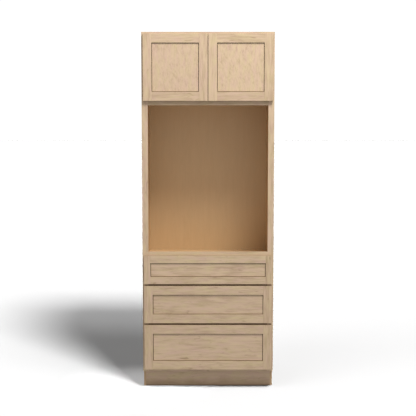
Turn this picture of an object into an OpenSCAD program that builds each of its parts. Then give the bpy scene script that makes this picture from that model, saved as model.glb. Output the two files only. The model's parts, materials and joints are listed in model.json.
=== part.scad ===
// Tall oven housing unit: a plywood cabinet with a solid face frame, two doors
// above an open oven cavity, and three drawers below it over a recessed toe kick.
// X is the width, the front faces -Y, and Z = 0 is the floor. All sizes in mm.

/* [Cabinet] */
// Width over the side panels and the face frame
cab_w = 838.2; // [762:1:914.4]
// Height from the floor to the top
cab_h = 2286; // [2280:1:2440]
// Depth from the face of the face frame to the back
cab_d = 609.6; // [600:1:640]
// Thickness of the side panels
side_t = 12.7; // [12:0.1:19]
// Thickness of the top, the cupboard floor, the bottom and the toe boards
panel_t = 12.7; // [12:0.1:19]
// Thickness of the deck that carries the oven
deck_t = 19.05; // [15:0.05:25]
// Thickness of the back panel
back_t = 6.35; // [3:0.05:9]
// Thickness of the rails behind the back panel
wall_rail_t = 12.7; // [12:0.1:19]
// Height of the rails behind the back panel
wall_rail_h = 76.2; // [60:0.1:100]
// Spacing of the two wall screw holes in each rail
wall_hole_pitch = 406.4; // [300:0.1:610]
// Diameter of the wall screw holes
wall_hole_d = 5; // [3:0.1:8]
// Depth of the grooves that hold the panels in the sides
dado = 6.35; // [3:0.05:8]
// Height of the toe kick
toe_h = 114.3; // [80:0.1:120]
// How far the toe board lies behind the face frame
toe_d = 76.2; // [50:0.1:90]

/* [Face frame] */
// Thickness of the face frame
frame_t = 19.05; // [18:0.05:22]
// Width of the frame stiles
frame_stile_w = 38.1; // [36:0.1:50]
// Height of the top rail
top_rail_h = 38.1; // [36:0.1:50]
// Height of the rail between the doors and the oven opening
header_rail_h = 50.8; // [45:0.1:60]
// Height of the rails between the drawers and at the bottom
drawer_rail_h = 38.1; // [36:0.1:42]
// Bottom of the oven opening
oven_z0 = 895.35; // [890:0.05:900]
// Top of the oven opening
oven_z1 = 1828.8; // [1800:0.1:1830]
// Top of the oven deck
deck_top = 825.5; // [824:0.1:830]

/* [Door and drawer fronts] */
// Thickness of the stiles and rails of a front
front_t = 19.05; // [18:0.05:20]
// Gap between the back of a front and the face frame
front_gap = 2.1; // [2.1:0.1:3]
// Face frame left showing beside the fronts
side_reveal = 9.5; // [9:0.1:11]
// Gap between the two doors
door_gap = 3.4; // [2:0.1:5]
// Bottom of the doors
door_z0 = 1855.4; // [1850:0.1:1858]
// Top of the doors
door_z1 = 2274.8; // [2262:0.1:2278]
// Width of the stiles of doors and deep drawers
front_stile_w = 55.6; // [50:0.1:64]
// Height of the rails of doors and deep drawers
front_rail_w = 57.2; // [50:0.1:64]
// Width of the stiles of the shallow drawer
small_stile_w = 41.5; // [36:0.1:50]
// Height of the rails of the shallow drawer
small_rail_w = 46.5; // [38:0.1:50]
// Depth from the front face to the panel
recess = 7.1; // [4:0.05:8]
// Width of the shadow groove round a panel
quirk = 3.2; // [1:0.1:5]
// Gap between one drawer front and the next
front_step = 12.7; // [6:0.1:14]
// Bottom of the lowest drawer front
front_z0 = 130.6; // [128:0.1:134]
// Height of the top drawer front
front_1_h = 182.4; // [170:0.1:184]
// Height of the middle drawer front
front_2_h = 241.5; // [230:0.1:243]
// Height of the bottom drawer front
front_3_h = 292.3; // [280:0.1:294]

/* [Drawer boxes] */
// Outer width of a drawer box
box_w = 752; // [700:1:754]
// Depth of a drawer box
box_d = 533.4; // [500:0.1:535]
// Thickness of the sides and ends of a drawer box
box_t = 15.9; // [12:0.1:17]
// Thickness of the bottom of a drawer box
box_bottom_t = 9.5; // [6:0.1:12]
// Height of the box behind the top drawer front
box_1_h = 76.2; // [60:0.1:80]
// Height of the box behind the middle drawer front
box_2_h = 165.1; // [120:0.1:180]
// Height of the box behind the bottom drawer front
box_3_h = 209.5; // [150:0.1:220]
// Gap between a drawer opening and the underside of its box
box_lift = 12.7; // [12:0.1:14]

/* [Slides] */
// Sheet thickness of the slide members
slide_t = 1.5; // [1.2:0.1:1.6]
// Length of the middle members
middle_l = 480; // [440:1:490]

/* [Hinges] */
// Outer diameter of a hinge cup
cup_d = 35; // [34:0.1:36]
// Depth of the bore for a hinge cup
cup_depth = 12.5; // [12:0.1:13]
// Distance from the outer edge of a door to the cup
cup_tab = 4; // [4:0.1:4.4]
// Distance of a hinge from the end of the door
hinge_inset = 76.2; // [70:0.1:110]

/* [Hidden] */
$fn = 48;

// Finishes
maple = [0.86, 0.75, 0.62];
maple_light = [0.90, 0.79, 0.67];
ply = [0.80, 0.67, 0.50];
steel = [0.72, 0.73, 0.75];
nylon = [0.45, 0.46, 0.48];
clear_pad = [0.85, 0.87, 0.88];

// Depths: the fronts and the cabinet together are centred on Y = 0
y_back = (cab_d + front_gap + front_t) / 2;
y_ff = y_back - cab_d;             // face of the face frame
y_fb = y_ff + frame_t;             // back of the face frame
y_in = y_back - wall_rail_t - back_t; // front of the back panel
y_df = y_ff - front_gap - front_t; // face of the doors and drawers
y_db = y_ff - front_gap;           // back of the doors and drawers

// Widths
x_out = cab_w / 2;
x_in = x_out - side_t;
x_dado = x_in + dado;
x_open = x_out - frame_stile_w;
x_front = x_out - side_reveal;

// Heights of the rails of the face frame
oven_rail_z0 = deck_top - deck_t;
header_z1 = oven_z1 + header_rail_h;
f3 = [front_z0, front_z0 + front_3_h];
f2 = [f3[1] + front_step, f3[1] + front_step + front_2_h];
f1 = [f2[1] + front_step, f2[1] + front_step + front_1_h];
rail_32 = (f3[1] + f2[0]) / 2;     // middle of the rail between drawers 3 and 2
rail_21 = (f2[1] + f1[0]) / 2;     // middle of the rail between drawers 2 and 1
bottom_rail_z1 = toe_h + drawer_rail_h;

// Each drawer: bottom and top of its front, width of its stiles and rails,
// bottom of its opening, height of its box
DRAWERS = [
    [f1[0], f1[1], small_stile_w, small_rail_w, rail_21 + drawer_rail_h / 2, box_1_h],
    [f2[0], f2[1], front_stile_w, front_rail_w, rail_32 + drawer_rail_h / 2, box_2_h],
    [f3[0], f3[1], front_stile_w, front_rail_w, bottom_rail_z1, box_3_h]];

// Rails behind the back panel, by their lower edge
WALL_RAILS = [bottom_rail_z1, 711.2, header_z1, cab_h - panel_t - wall_rail_h];

// Heights of the pocket screws, one at each end of a rail, two in a deep one
SCREWS = [toe_h + drawer_rail_h / 2, rail_32, rail_21, oven_rail_z0 + 22, oven_z0 - 22,
    oven_z1 + 13, header_z1 - 13, cab_h - top_rail_h / 2];

// Joinery of a front
groove_d = 9;                      // depth of the groove round the inside
groove_y0 = y_df + recess + 2.65;
groove_y1 = groove_y0 + 6.35;

// Hinges, for the right door: pivot of the door, pivot of the link, cup
door_px = x_front - 6;
door_py = y_db - 11.25;
link_px = x_front - 33.6;
link_py = y_ff - 8;
link_l = 24;
link_a = 2;
cup_x = x_front - cup_tab - cup_d / 2;
HINGES = [door_z0 + hinge_inset, door_z1 - hinge_inset];

module bar(x0, x1, y0, y1, z0, z1) {
    translate([x0, y0, z0]) cube([x1 - x0, y1 - y0, z1 - z0]);
}

module both() {
    children();
    mirror([1, 0, 0]) children();
}

// ---- carcass ----

// The places in a side where the panels are let in
module dados() {
    bar(x_in - 1, x_dado, y_fb - 1, y_in, toe_h + drawer_rail_h - panel_t, bottom_rail_z1);
    bar(x_in - 1, x_dado, y_fb - 1, y_in, header_z1 - panel_t, header_z1);
    bar(x_in - 1, x_dado, y_fb - 1, y_in, cab_h - panel_t, cab_h + 1);
}

module side_panel() {
    difference() {
        bar(x_in, x_out, y_fb, y_back, 0, cab_h);
        bar(x_in - 1, x_out + 1, y_fb - 1, y_ff + toe_d, -1, toe_h);
        dados();
    }
}

module left_side_panel() { color(maple) mirror([1, 0, 0]) side_panel(); }
module right_side_panel() { color(maple) side_panel(); }

module shelf_board(z1, t) { bar(-x_dado, x_dado, y_fb, y_in, z1 - t, z1); }

module top_panel() { color(ply) shelf_board(cab_h, panel_t); }
module cupboard_floor() { color(ply) shelf_board(header_z1, panel_t); }
// The deck lies on its cleats between the sides
module oven_deck() { color(ply) bar(-x_in, x_in, y_fb, y_in, oven_rail_z0, deck_top); }
module bottom_panel() { color(ply) shelf_board(bottom_rail_z1, panel_t); }

module deck_cleats() {
    color(maple) both()
        bar(x_in - 19.05, x_in, y_fb + 2, y_in, oven_rail_z0 - 38.1, oven_rail_z0);
}

module wall_holes() {
    for (z = WALL_RAILS) for (s = [-1, 1])
        translate([s * wall_hole_pitch / 2, y_in - 1, z + wall_rail_h / 2])
            rotate([-90, 0, 0]) cylinder(h = wall_rail_t + back_t + 2, d = wall_hole_d);
}

module back_panel() {
    color(ply) difference() {
        bar(-x_in, x_in, y_in, y_in + back_t, 0, cab_h);
        wall_holes();
    }
}

module wall_rails() {
    color(maple) difference() {
        for (z = WALL_RAILS) bar(-x_in, x_in, y_in + back_t, y_back, z, z + wall_rail_h);
        wall_holes();
    }
}

module toe_boards() {
    color(maple) {
        bar(-x_in, x_in, y_ff + toe_d, y_ff + toe_d + panel_t, 0, bottom_rail_z1 - panel_t);
        bar(-x_in, x_in, y_in - panel_t, y_in, 0, bottom_rail_z1 - panel_t);
    }
}

// ---- face frame ----

// A pocket screw at the right end of a rail, from the back at 15 degrees.
// The origin is where its axis crosses the joint.
module pocket_axis(z) {
    translate([x_open, y_ff + frame_t / 2, z]) rotate([0, 0, -15]) rotate([0, 90, 0]) children();
}

module screw_shape() {
    translate([0, 0, -14]) cylinder(h = 36, d = 3.8);
    difference() {
        translate([0, 0, -16.4]) cylinder(h = 2.4, d = 8.6);
        translate([0, 0, -16.5]) cube([2.7, 2.7, 3], center = true);
    }
}

module screw_holes() {
    for (z = SCREWS) both() pocket_axis(z) {
        translate([0, 0, -14.1]) cylinder(h = 36.1, d = 3.8);
        translate([0, 0, -60]) cylinder(h = 46, d = 9.5);
    }
}

module frame_screws() {
    color(steel) for (z = SCREWS) both() pocket_axis(z) screw_shape();
}

module frame_stile() {
    difference() {
        bar(x_open, x_out, y_ff, y_fb, toe_h, cab_h);
        screw_holes();
    }
}

module left_frame_stile() { color(maple_light) mirror([1, 0, 0]) frame_stile(); }
module right_frame_stile() { color(maple_light) frame_stile(); }

module frame_rail(z0, z1) {
    difference() {
        bar(-x_open, x_open, y_ff, y_fb, z0, z1);
        screw_holes();
    }
}

module top_frame_rail() { color(maple_light) frame_rail(cab_h - top_rail_h, cab_h); }
module header_rail() { color(maple_light) frame_rail(oven_z1, header_z1); }
module oven_rail() { color(maple_light) frame_rail(oven_rail_z0, oven_z0); }
module drawer_rails() {
    color(maple_light) for (z = [rail_32, rail_21])
        frame_rail(z - drawer_rail_h / 2, z + drawer_rail_h / 2);
}
module bottom_frame_rail() { color(maple_light) frame_rail(toe_h, bottom_rail_z1); }

module pad(x, z) {
    translate([x, y_ff, z]) rotate([90, 0, 0]) cylinder(h = 1.6, d1 = 9, d2 = 7);
}

module bumper_pads() {
    color(clear_pad) both() {
        pad(16, (cab_h - top_rail_h + door_z1) / 2);
        pad(16, (door_z0 + header_z1) / 2);
        for (d = DRAWERS) pad(x_out - 24, d[1] - 14);
    }
}

// ---- doors and drawer fronts ----

module front_stiles(x0, x1, z0, z1, sw) {
    difference() {
        bar(x0, x0 + sw, y_df, y_db, z0, z1);
        bar(x0 + sw - groove_d, x0 + sw + 1, groove_y0, groove_y1, z0 - 1, z1 + 1);
    }
    difference() {
        bar(x1 - sw, x1, y_df, y_db, z0, z1);
        bar(x1 - sw - 1, x1 - sw + groove_d, groove_y0, groove_y1, z0 - 1, z1 + 1);
    }
}

// A rail with a tongue at each end, and its groove along the top edge
module front_rail(x0, x1, z0, z1) {
    difference() {
        union() {
            bar(x0, x1, y_df, y_db, z0, z1);
            bar(x0 - groove_d, x1 + groove_d, groove_y0, groove_y1, z0, z1 - groove_d);
        }
        bar(x0 - groove_d - 1, x1 + groove_d + 1, groove_y0, groove_y1, z1 - groove_d, z1 + 1);
    }
}

module front_rails(x0, x1, z0, z1, sw, rw) {
    front_rail(x0 + sw, x1 - sw, z0, z0 + rw);
    translate([0, 0, z0 + z1]) mirror([0, 0, 1]) front_rail(x0 + sw, x1 - sw, z0, z0 + rw);
}

// The panel: a tongue in the grooves, and a field that stops short of the
// frame and leaves a narrow shadow groove round it
module front_panel(x0, x1, z0, z1, sw, rw) {
    e = groove_d - 1;
    bar(x0 + sw - e, x1 - sw + e, groove_y0, groove_y1, z0 + rw - e, z1 - rw + e);
    bar(x0 + sw + quirk, x1 - sw - quirk, y_df + recess, groove_y1, z0 + rw + quirk, z1 - rw - quirk);
}

// The right door; the left one is its mirror image
module door_stiles() {
    difference() {
        front_stiles(door_gap / 2, x_front, door_z0, door_z1, front_stile_w);
        for (z = HINGES) translate([cup_x, y_db - cup_depth, z])
            rotate([-90, 0, 0]) cylinder(h = cup_depth + 1, d = cup_d);
    }
}
module door_rails() { front_rails(door_gap / 2, x_front, door_z0, door_z1, front_stile_w, front_rail_w); }
module door_panel() { front_panel(door_gap / 2, x_front, door_z0, door_z1, front_stile_w, front_rail_w); }

module left_door_stiles() { color(maple_light) mirror([1, 0, 0]) door_stiles(); }
module left_door_rails() { color(maple_light) mirror([1, 0, 0]) door_rails(); }
module left_door_panel() { color(maple) mirror([1, 0, 0]) door_panel(); }
module right_door_stiles() { color(maple_light) door_stiles(); }
module right_door_rails() { color(maple_light) door_rails(); }
module right_door_panel() { color(maple) door_panel(); }

// ---- hinges ----

// A pressed cup with a flange and two screw wings on the back of the door
module hinge_cup(z) {
    translate([cup_x, y_db, z]) rotate([-90, 0, 0]) difference() {
        union() {
            translate([0, 0, -cup_depth]) cylinder(h = cup_depth + 1.2, d = cup_d);
            cylinder(h = 1.2, d = cup_d + 1.6);
            translate([-11, -26, 0]) cube([22, 52, 1.2]);
        }
        translate([0, 0, 0.8 - cup_depth]) cylinder(h = cup_depth + 2, d = cup_d - 1.6);
        for (s = [-1, 1]) translate([0, s * 22.5, -1]) cylinder(h = 4, d = 4.2);
    }
}

module hinge_cups() { for (z = HINGES) hinge_cup(z); }
module left_hinge_cups() { color(steel) mirror([1, 0, 0]) hinge_cups(); }
module right_hinge_cups() { color(steel) hinge_cups(); }

// The arm: a plate on the inner edge of the frame stile, and a nose that
// reaches into the cup and carries the link
module hinge_arm(z) {
    difference() {
        union() {
            difference() {
                bar(x_open - 1.7, x_open, y_ff + 1, y_fb - 1, z - 28, z + 28);
                for (s = [-1, 1]) translate([x_open - 3, y_ff + frame_t / 2, z + s * 21])
                    rotate([0, 90, 0]) cylinder(h = 5, d = 4.2);
            }
            bar(link_px - 2.8, x_open - 1.7, y_ff + 1, y_fb - 3, z - 9, z + 9);
            bar(link_px - 2.8, link_px + 2.8, link_py, y_ff + 1, z - 2.4, z + 2.4);
            translate([link_px, link_py, z - 2.4]) cylinder(h = 4.8, r = 2.8);
        }
        translate([link_px, link_py, z - 4]) cylinder(h = 8, r = 1.38);
    }
}

module hinge_arms() { color(steel) both() for (z = HINGES) hinge_arm(z); }

// The link: two ears with a pin through the nose of the arm, and a strap
// that ends in a round bar inside the cup
module hinge_link(z) {
    translate([link_px, link_py, z]) rotate([0, 0, link_a]) {
        translate([0, 0, -4.4]) cylinder(h = 8.8, r = 1.3);
        for (s = [2.6, -4.4]) {
            translate([0, 0, s]) cylinder(h = 1.8, r = 2.4);
            translate([0, -1.2, s]) cube([5.4, 2.4, 1.8]);
        }
        translate([4.4, -1.2, -4.4]) cube([link_l - 4.4, 2.4, 8.8]);
        translate([link_l, 0, -4.4]) cylinder(h = 8.8, r = 1.8);
    }
}

module hinge_links() { for (z = HINGES) hinge_link(z); }
module left_hinge_links() { color(steel) mirror([1, 0, 0]) hinge_links(); }
module right_hinge_links() { color(steel) hinge_links(); }

// ---- drawers ----

module drawer_front_stiles(d) { front_stiles(-x_front, x_front, d[0], d[1], d[2]); }
module drawer_front_rails(d) { front_rails(-x_front, x_front, d[0], d[1], d[2], d[3]); }
module drawer_front_panel(d) { front_panel(-x_front, x_front, d[0], d[1], d[2], d[3]); }

// Dovetails of a side board, as a row across the end grain: w0 to w1 is the
// jointed height, and the tails are widest at the end of the board
module tails(w0, w1) {
    n = max(2, round((w1 - w0) / 30));
    p = (w1 - w0) / n;
    for (i = [0:n - 1]) {
        c = w0 + (i + 0.5) * p;
        polygon([[0, c - 0.36 * p], [box_t, c - 0.24 * p], [box_t + 1, c - 0.24 * p],
            [box_t + 1, c + 0.24 * p], [box_t, c + 0.24 * p], [0, c + 0.36 * p]]);
    }
}

// Tails of the right side board at both ends of the box, h high
module tail_blocks(h) {
    translate([box_w / 2 - box_t, y_db, 0]) rotate([90, 0, 90])
        linear_extrude(box_t) tails(0, h);
    translate([box_w / 2 - box_t, y_db + box_d, 0]) mirror([0, 1, 0]) rotate([90, 0, 90])
        linear_extrude(box_t) tails(box_lift + box_bottom_t, h);
}

module box_bottom_shape() {
    e = box_w / 2 - box_t + 6.35;
    bar(-e, e, y_db + box_t - 6.35, y_db + box_d, box_lift, box_lift + box_bottom_t);
}

module box_sides(d) {
    translate([0, 0, d[4] + box_lift]) difference() {
        both() {
            bar(box_w / 2 - box_t, box_w / 2, y_db + box_t, y_db + box_d - box_t, 0, d[5]);
            bar(box_w / 2 - box_t, box_w / 2, y_db + box_d - box_t - 1, y_db + box_d, 0,
                box_lift + box_bottom_t);
            tail_blocks(d[5]);
        }
        box_bottom_shape();
    }
}

module box_ends(d) {
    translate([0, 0, d[4] + box_lift]) difference() {
        union() {
            bar(-box_w / 2, box_w / 2, y_db, y_db + box_t, 0, d[5]);
            bar(-box_w / 2, box_w / 2, y_db + box_d - box_t, y_db + box_d,
                box_lift + box_bottom_t, d[5]);
        }
        both() {
            tail_blocks(d[5]);
            bar(box_w / 2 - box_t, box_w / 2 + 1, y_db + box_t, y_db + box_d - box_t, -1, d[5] + 1);
        }
        box_bottom_shape();
    }
}

module box_bottom(d) { translate([0, 0, d[4] + box_lift]) box_bottom_shape(); }

// A channel open downwards, in from the outer face of the box: u0 to u1
// wide, with its top at w1 and its legs down to w0
module channel(u0, u1, y0, y1, w0, w1) {
    x1 = box_w / 2 - u0;
    x0 = box_w / 2 - u1;
    bar(x0, x1, y0, y1, w1 - slide_t, w1);
    bar(x0, x0 + slide_t, y0, y1, w0, w1 - slide_t);
    bar(x1 - slide_t, x1, y0, y1, w0, w1 - slide_t);
}

// Drawer member, under the bottom of the box
module slide_members(d) {
    translate([0, 0, d[4] + box_lift]) both()
        channel(18, 46, y_db + box_t + 0.6, y_db + box_d, 3, box_lift);
}

// Middle member, nested in the drawer member
module slide_middles(d) {
    translate([0, 0, d[4] + box_lift]) both()
        channel(20.7, 43.3, y_ff + 24, y_ff + 24 + middle_l, -1.5, 9.9);
}

// Locking clip between the drawer member and the front of the box
module clips(d) {
    translate([0, 0, d[4] + box_lift]) both() difference() {
        union() {
            bar(box_w / 2 - 82, box_w / 2 - 46, y_db + box_t, y_db + box_t + 46, 3, box_lift);
            bar(box_w / 2 - 78, box_w / 2 - 60, y_db + box_t + 46, y_db + box_t + 66, 5, 9);
        }
        bar(box_w / 2 - 70, box_w / 2 - 58, y_db + box_t + 12, y_db + box_t + 34, 2, 8);
    }
}

// Cabinet member: a channel on a base flange, with a tab on the back of the frame
module slide_cabinet_members() {
    color(steel) for (d = DRAWERS) translate([0, 0, d[4] + box_lift]) both() {
        channel(23.6, 40.4, y_fb, y_ff + 560, -6, 7.1);
        bar(box_w / 2 - 40.4, box_w / 2 + 10, y_fb, y_ff + 560, -7.5, -6);
        difference() {
            bar(box_w / 2 + 6, box_w / 2 + 28, y_fb, y_fb + slide_t, -7.5, 22);
            for (w = [1, 14]) translate([box_w / 2 + 19, y_fb - 1, w])
                rotate([-90, 0, 0]) cylinder(h = 4, d = 4);
        }
    }
}

// Moulded bracket that holds the end of a cabinet member to the back panel
module slide_rear_brackets() {
    color(nylon) for (d = DRAWERS) translate([0, 0, d[4] + box_lift]) both() difference() {
        union() {
            bar(box_w / 2 - 48, box_w / 2 + 4, y_ff + 545, y_in, -11, -7.5);
            bar(box_w / 2 - 48, box_w / 2 + 4, y_ff + 560, y_in - 4, -7.5, 14);
            bar(box_w / 2 - 48, box_w / 2 + 4, y_in - 4, y_in, -11, 32);
        }
        for (x = [box_w / 2 - 38, box_w / 2 - 6]) translate([x, y_in - 5, 23])
            rotate([-90, 0, 0]) cylinder(h = 6, d = 4);
    }
}

module drawer_1_front_stiles() { color(maple_light) drawer_front_stiles(DRAWERS[0]); }
module drawer_1_front_rails() { color(maple_light) drawer_front_rails(DRAWERS[0]); }
module drawer_1_front_panel() { color(maple) drawer_front_panel(DRAWERS[0]); }
module drawer_1_box_sides() { color(ply) box_sides(DRAWERS[0]); }
module drawer_1_box_ends() { color(ply) box_ends(DRAWERS[0]); }
module drawer_1_box_bottom() { color(ply) box_bottom(DRAWERS[0]); }
module drawer_1_slide_members() { color(steel) slide_members(DRAWERS[0]); }
module drawer_1_clips() { color(nylon) clips(DRAWERS[0]); }
module drawer_1_slide_middles() { color(steel) slide_middles(DRAWERS[0]); }

module drawer_2_front_stiles() { color(maple_light) drawer_front_stiles(DRAWERS[1]); }
module drawer_2_front_rails() { color(maple_light) drawer_front_rails(DRAWERS[1]); }
module drawer_2_front_panel() { color(maple) drawer_front_panel(DRAWERS[1]); }
module drawer_2_box_sides() { color(ply) box_sides(DRAWERS[1]); }
module drawer_2_box_ends() { color(ply) box_ends(DRAWERS[1]); }
module drawer_2_box_bottom() { color(ply) box_bottom(DRAWERS[1]); }
module drawer_2_slide_members() { color(steel) slide_members(DRAWERS[1]); }
module drawer_2_clips() { color(nylon) clips(DRAWERS[1]); }
module drawer_2_slide_middles() { color(steel) slide_middles(DRAWERS[1]); }

module drawer_3_front_stiles() { color(maple_light) drawer_front_stiles(DRAWERS[2]); }
module drawer_3_front_rails() { color(maple_light) drawer_front_rails(DRAWERS[2]); }
module drawer_3_front_panel() { color(maple) drawer_front_panel(DRAWERS[2]); }
module drawer_3_box_sides() { color(ply) box_sides(DRAWERS[2]); }
module drawer_3_box_ends() { color(ply) box_ends(DRAWERS[2]); }
module drawer_3_box_bottom() { color(ply) box_bottom(DRAWERS[2]); }
module drawer_3_slide_members() { color(steel) slide_members(DRAWERS[2]); }
module drawer_3_clips() { color(nylon) clips(DRAWERS[2]); }
module drawer_3_slide_middles() { color(steel) slide_middles(DRAWERS[2]); }

left_side_panel();
right_side_panel();
top_panel();
cupboard_floor();
oven_deck();
deck_cleats();
bottom_panel();
back_panel();
wall_rails();
toe_boards();
left_frame_stile();
right_frame_stile();
top_frame_rail();
header_rail();
oven_rail();
drawer_rails();
bottom_frame_rail();
frame_screws();
bumper_pads();
hinge_arms();
slide_cabinet_members();
slide_rear_brackets();
left_door_stiles();
left_door_rails();
left_door_panel();
left_hinge_cups();
left_hinge_links();
right_door_stiles();
right_door_rails();
right_door_panel();
right_hinge_cups();
right_hinge_links();
drawer_1_front_stiles();
drawer_1_front_rails();
drawer_1_front_panel();
drawer_1_box_sides();
drawer_1_box_ends();
drawer_1_box_bottom();
drawer_1_slide_members();
drawer_1_clips();
drawer_1_slide_middles();
drawer_2_front_stiles();
drawer_2_front_rails();
drawer_2_front_panel();
drawer_2_box_sides();
drawer_2_box_ends();
drawer_2_box_bottom();
drawer_2_slide_members();
drawer_2_clips();
drawer_2_slide_middles();
drawer_3_front_stiles();
drawer_3_front_rails();
drawer_3_front_panel();
drawer_3_box_sides();
drawer_3_box_ends();
drawer_3_box_bottom();
drawer_3_slide_members();
drawer_3_clips();
drawer_3_slide_middles();
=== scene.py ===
import json
import math
import random

import bmesh
import bpy
from mathutils import Matrix, Vector


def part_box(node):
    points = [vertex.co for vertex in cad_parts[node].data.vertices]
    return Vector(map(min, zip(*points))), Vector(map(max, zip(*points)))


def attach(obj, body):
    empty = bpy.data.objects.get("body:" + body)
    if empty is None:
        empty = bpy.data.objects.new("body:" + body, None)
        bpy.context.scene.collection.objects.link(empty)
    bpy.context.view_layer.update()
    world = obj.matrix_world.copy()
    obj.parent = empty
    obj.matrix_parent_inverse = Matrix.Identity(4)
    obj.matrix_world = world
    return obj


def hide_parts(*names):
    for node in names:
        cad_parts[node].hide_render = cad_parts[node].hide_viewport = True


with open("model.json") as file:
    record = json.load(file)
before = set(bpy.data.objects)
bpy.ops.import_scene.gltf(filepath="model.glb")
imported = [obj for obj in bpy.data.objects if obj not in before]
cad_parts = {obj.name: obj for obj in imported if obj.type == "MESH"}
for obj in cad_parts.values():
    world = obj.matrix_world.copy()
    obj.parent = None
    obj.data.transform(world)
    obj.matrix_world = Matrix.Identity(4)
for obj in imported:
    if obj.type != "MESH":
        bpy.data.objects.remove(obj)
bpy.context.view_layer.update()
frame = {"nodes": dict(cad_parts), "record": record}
NODES = frame["nodes"]
BODY_OF = {n: b for b, ns in frame["record"]["behaviour"]["bodies"].items() for n in ns}
SLOT_OF = {s["node"]: s["material_slot"] for s in frame["record"]["subparts"]}
scene = bpy.context.scene

# ---------------------------------------------------------------- sizes, metres
X_OUT, X_IN, X_OPEN, X_FRONT = 0.4191, 0.4064, 0.381, 0.4096
Y_FF, Y_FB = (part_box("oven_rail")[k].y for k in (0, 1))            # face frame
Y_DF, Y_DB = (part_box("left_door_stiles")[k].y for k in (0, 1))     # doors and drawer fronts
Y_IN, Y_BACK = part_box("back_panel")[0].y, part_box("wall_rails")[1].y
MM = 0.001


# ---------------------------------------------------------------- node helpers
class Tree:
    """A material's node tree, with short calls for the nodes used here."""

    def __init__(self, name):
        self.mat = bpy.data.materials.new(name)
        self.mat.use_nodes = True
        self.nt = self.mat.node_tree
        self.nt.nodes.clear()
        self.out = self.nt.nodes.new("ShaderNodeOutputMaterial")
        self.bsdf = self.nt.nodes.new("ShaderNodeBsdfPrincipled")
        self.nt.links.new(self.bsdf.outputs["BSDF"], self.out.inputs["Surface"])

    def put(self, socket, value):
        if isinstance(value, bpy.types.NodeSocket):
            self.nt.links.new(value, socket)
        elif value is not None:
            if hasattr(socket.default_value, "__len__"):
                value = tuple(value)
                n = len(socket.default_value)
                socket.default_value = (value + (1.0,))[:n] if len(value) < n else value[:n]
            else:
                socket.default_value = value

    def math(self, op, a, b=None, c=None, clamp=False):
        n = self.nt.nodes.new("ShaderNodeMath")
        n.operation, n.use_clamp = op, clamp
        for s, v in zip(n.inputs, (a, b, c)):
            self.put(s, v)
        return n.outputs[0]

    def vec(self, op, a, b=None, scale=None):
        n = self.nt.nodes.new("ShaderNodeVectorMath")
        n.operation = op
        self.put(n.inputs[0], a)
        if b is not None:
            self.put(n.inputs[1], b)
        if scale is not None:
            self.put(n.inputs["Scale"], scale)
        return n.outputs["Value"] if op in ("LENGTH", "DOT_PRODUCT", "DISTANCE") else n.outputs["Vector"]

    def attr(self, name):
        n = self.nt.nodes.new("ShaderNodeAttribute")
        n.attribute_type, n.attribute_name = "GEOMETRY", name
        return n

    def coords(self):
        return self.nt.nodes.new("ShaderNodeTexCoord").outputs["Object"]

    def xyz(self, v):
        n = self.nt.nodes.new("ShaderNodeSeparateXYZ")
        self.put(n.inputs[0], v)
        return n.outputs

    def join(self, x, y, z):
        n = self.nt.nodes.new("ShaderNodeCombineXYZ")
        for s, v in zip(n.inputs, (x, y, z)):
            self.put(s, v)
        return n.outputs[0]

    def noise(self, v, scale=1.0, detail=2.0, rough=0.5, dist=0.0, stretch=None):
        if stretch is not None:
            v = self.vec("MULTIPLY", v, stretch)
        n = self.nt.nodes.new("ShaderNodeTexNoise")
        self.put(n.inputs["Vector"], v)
        self.put(n.inputs["Scale"], scale)
        self.put(n.inputs["Detail"], detail)
        self.put(n.inputs["Roughness"], rough)
        self.put(n.inputs["Distortion"], dist)
        return n.outputs["Fac"]

    def voronoi(self, v, scale=1.0, feature="F1", stretch=None, rand=1.0):
        if stretch is not None:
            v = self.vec("MULTIPLY", v, stretch)
        n = self.nt.nodes.new("ShaderNodeTexVoronoi")
        n.feature = feature
        self.put(n.inputs["Vector"], v)
        self.put(n.inputs["Scale"], scale)
        self.put(n.inputs["Randomness"], rand)
        return n.outputs["Distance"]

    def span(self, v, a, b, lo=0.0, hi=1.0, smooth=False):
        n = self.nt.nodes.new("ShaderNodeMapRange")
        n.interpolation_type = "SMOOTHSTEP" if smooth else "LINEAR"
        for s, x in zip(n.inputs, (v, a, b, lo, hi)):
            self.put(s, x)
        return n.outputs[0]

    def mix(self, f, a, b, kind="MIX"):
        n = self.nt.nodes.new("ShaderNodeMix")
        n.data_type, n.blend_type, n.clamp_factor = "RGBA", kind, True
        self.put(n.inputs["Factor"], f)
        self.put(n.inputs[6], a)
        self.put(n.inputs[7], b)
        return n.outputs[2]

    def bump(self, height, strength=0.3, distance=0.0005):
        n = self.nt.nodes.new("ShaderNodeBump")
        self.put(n.inputs["Strength"], strength)
        self.put(n.inputs["Distance"], distance)
        self.put(n.inputs["Height"], height)
        return n.outputs[0]

    def set(self, **kw):
        for k, v in kw.items():
            self.put(self.bsdf.inputs[k.replace("_", " ")], v)
        return self.mat


def srgb(r, g, b):
    """A colour given as 0-255 screen values, in linear light."""
    return tuple((c / 255 / 12.92) if c <= 10.3 else ((c / 255 + 0.055) / 1.055) ** 2.4 for c in (r, g, b))


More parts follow.
